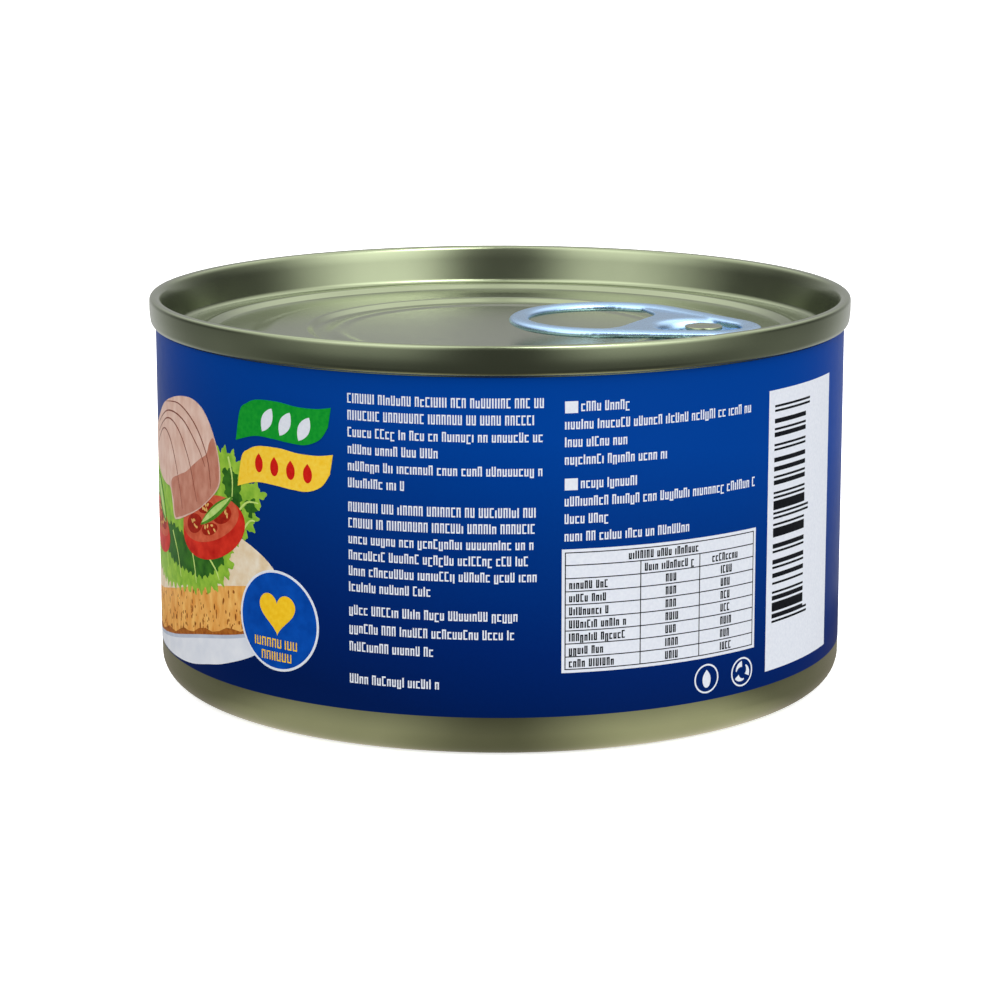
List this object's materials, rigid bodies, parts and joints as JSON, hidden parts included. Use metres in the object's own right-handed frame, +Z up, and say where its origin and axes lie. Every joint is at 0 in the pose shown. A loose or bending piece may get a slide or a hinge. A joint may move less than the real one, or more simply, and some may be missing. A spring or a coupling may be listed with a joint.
{
  "type": "tuna can",
  "caption": "Short round shut food can with a rolled seam, pressed lid, ring-pull tab and a wrap-round printed label above a bare base band.",
  "frame": {"origin": "centre of the circle that the can stands on, at the bottom of the standing ring", "axes": "+Z up along the can's axis, -Y towards the side of the label that carries the text block, +X to its right"},
  "size_m": [0.087, 0.087, 0.0478],
  "materials": {
    "lacquered_steel": "satin olive-gold lacquer over steel",
    "label_print": "satin varnished print",
    "tab_aluminium": "bright satin"
  },
  "bodies": {
    "root": {"can_body": "lacquered_steel", "label": "label_print", "lid": "lacquered_steel", "pull_tab": "tab_aluminium", "rivet": "lacquered_steel"}
  },
  "joints": []
}
